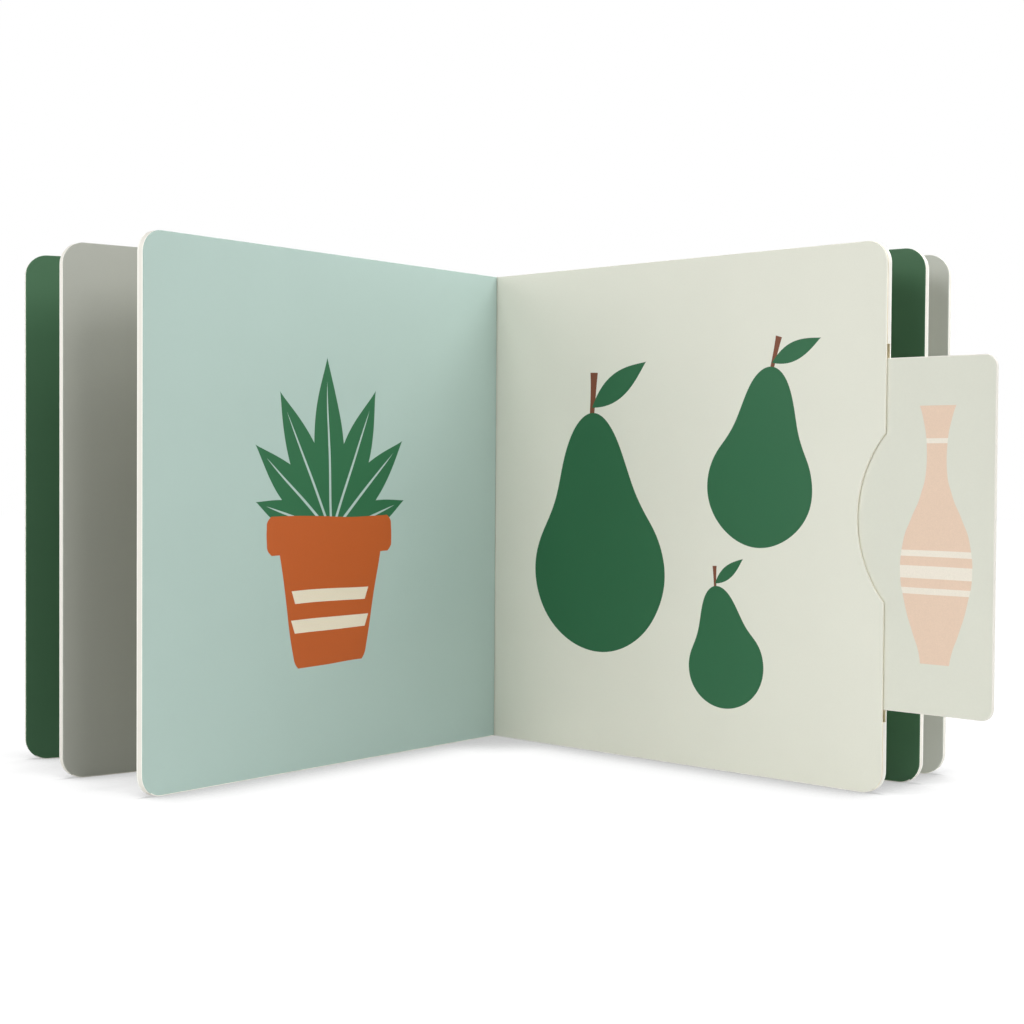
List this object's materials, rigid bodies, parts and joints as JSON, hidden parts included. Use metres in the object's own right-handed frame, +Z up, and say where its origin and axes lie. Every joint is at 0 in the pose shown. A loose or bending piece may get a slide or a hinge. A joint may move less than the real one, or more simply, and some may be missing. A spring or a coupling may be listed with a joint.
{
  "type": "board book",
  "caption": "Square board book standing open with its stiff round-cornered leaves fanned and a card that slides out of a pocket in the right-hand page.",
  "frame": {"origin": "foot of the middle fold, where the two middle pages meet on the table", "axes": "+X to the reader's right across the open book, +Y away from the reader towards the spine, +Z up along the folds"},
  "size_m": [0.3251, 0.1567, 0.18],
  "materials": {
    "page_board": "matte",
    "cover_board": "matte",
    "card_board": "matte"
  },
  "bodies": {
    "pages": {"page_block": "page_board", "spine": "cover_board"},
    "front_cover": {"front_cover": "cover_board"},
    "back_cover": {"back_cover": "cover_board"},
    "card": {"slide_card": "card_board"}
  },
  "joints": [
    {"name": "front_cover_fold", "type": "hinge", "parent": "pages", "child": "front_cover", "pos_m": [-0.00436, 0.00447, 0], "axis": [0, 0, 1], "range_deg": [-113.3, 13.4]},
    {"name": "back_cover_fold", "type": "hinge", "parent": "pages", "child": "back_cover", "pos_m": [0.00407, 0.00479, 0], "axis": [0, 0, 1], "range_deg": [-5.8, 120.6]},
    {"name": "card_slide", "type": "slide", "parent": "pages", "child": "card", "axis": [0.7181, -0.6959, 0], "range_m": [-0.039, 0]}
  ]
}
